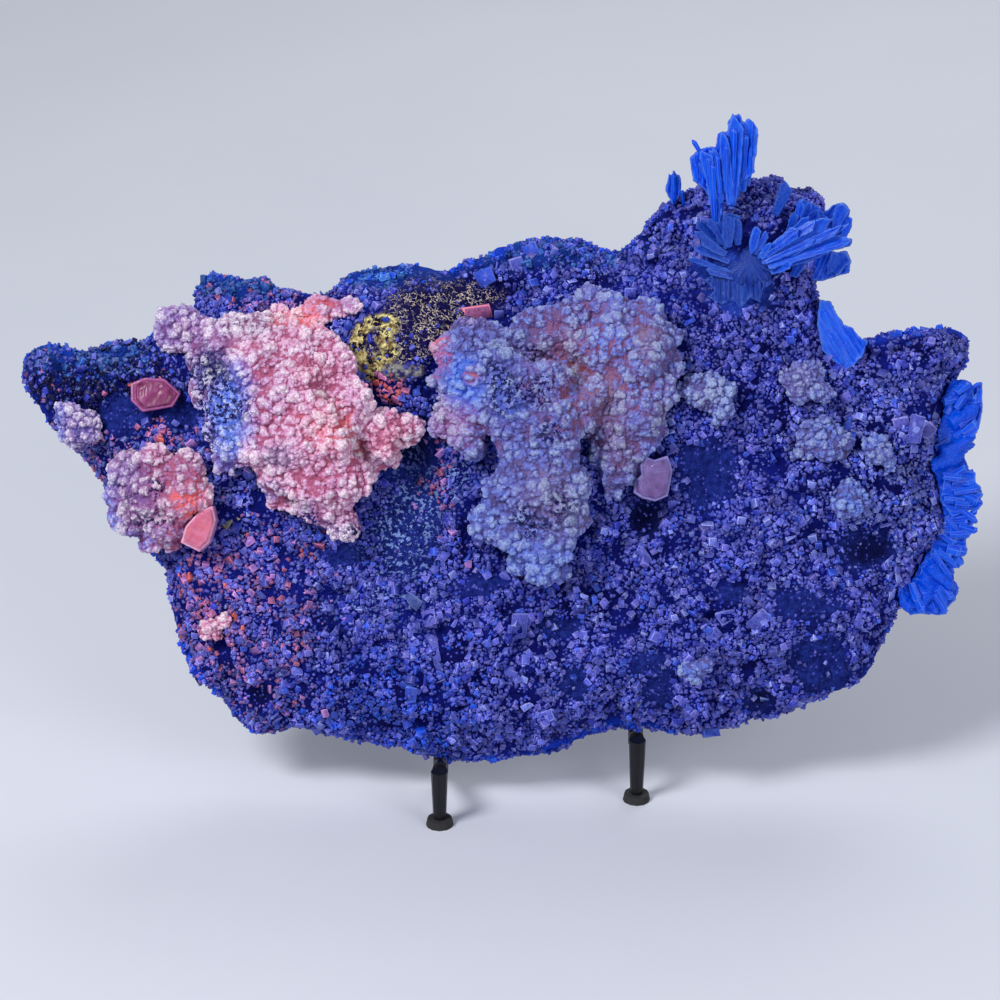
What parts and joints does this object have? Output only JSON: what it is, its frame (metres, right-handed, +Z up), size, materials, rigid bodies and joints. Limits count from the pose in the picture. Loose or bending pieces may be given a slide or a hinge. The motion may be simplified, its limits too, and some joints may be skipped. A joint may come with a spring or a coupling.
{
  "type": "flower quartz specimen on an easel",
  "caption": "Crystal plate of dark rock with rounded calcite flowers and a spray of quartz prisms, leaning back on a black steel easel.",
  "frame": {"origin": "bottom centre of the bounding box, on the surface that the easel's feet stand on", "axes": "+X to the right of someone facing the plate, +Y from the plate's face to its back, +Z up"},
  "size_m": [0.3868, 0.16, 0.2665],
  "materials": {
    "dark_rock": "rough, covered with fine crystals",
    "pink_calcite": "waxy, knobbly",
    "lavender_calcite": "waxy, knobbly",
    "red_calcite": "flat faces, satin",
    "blue_quartz": "glassy",
    "black_steel": "satin black",
    "foot_rubber": "matte"
  },
  "bodies": {
    "root": {"rock_plate": "dark_rock", "calcite_flower_left": "pink_calcite", "calcite_flower_middle": "lavender_calcite", "calcite_flower_lower_left": "pink_calcite", "calcite_flower_far_left": "pink_calcite", "calcite_flower_small_1": "lavender_calcite", "calcite_flower_small_2": "lavender_calcite", "calcite_flower_small_3": "lavender_calcite", "calcite_flower_small_4": "lavender_calcite", "calcite_flower_small_5": "lavender_calcite", "calcite_flower_small_6": "lavender_calcite", "calcite_flower_small_7": "pink_calcite", "calcite_crystal_left": "red_calcite", "calcite_crystal_low": "red_calcite", "calcite_crystal_middle": "red_calcite", "quartz_flower": "blue_quartz", "quartz_spur": "blue_quartz", "quartz_crust_right": "blue_quartz", "quartz_ledge": "blue_quartz", "easel_arm_left": "black_steel", "easel_arm_right": "black_steel", "easel_back_rest_left": "black_steel", "easel_back_rest_right": "black_steel", "easel_front_leg_left": "black_steel", "easel_front_leg_right": "black_steel", "easel_rear_strut_left": "black_steel", "easel_rear_strut_right": "black_steel", "easel_lower_bar": "black_steel", "easel_upper_bar": "black_steel", "easel_foot_front_left": "foot_rubber", "easel_foot_front_right": "foot_rubber", "easel_foot_rear_left": "foot_rubber", "easel_foot_rear_right": "foot_rubber"}
  },
  "joints": []
}
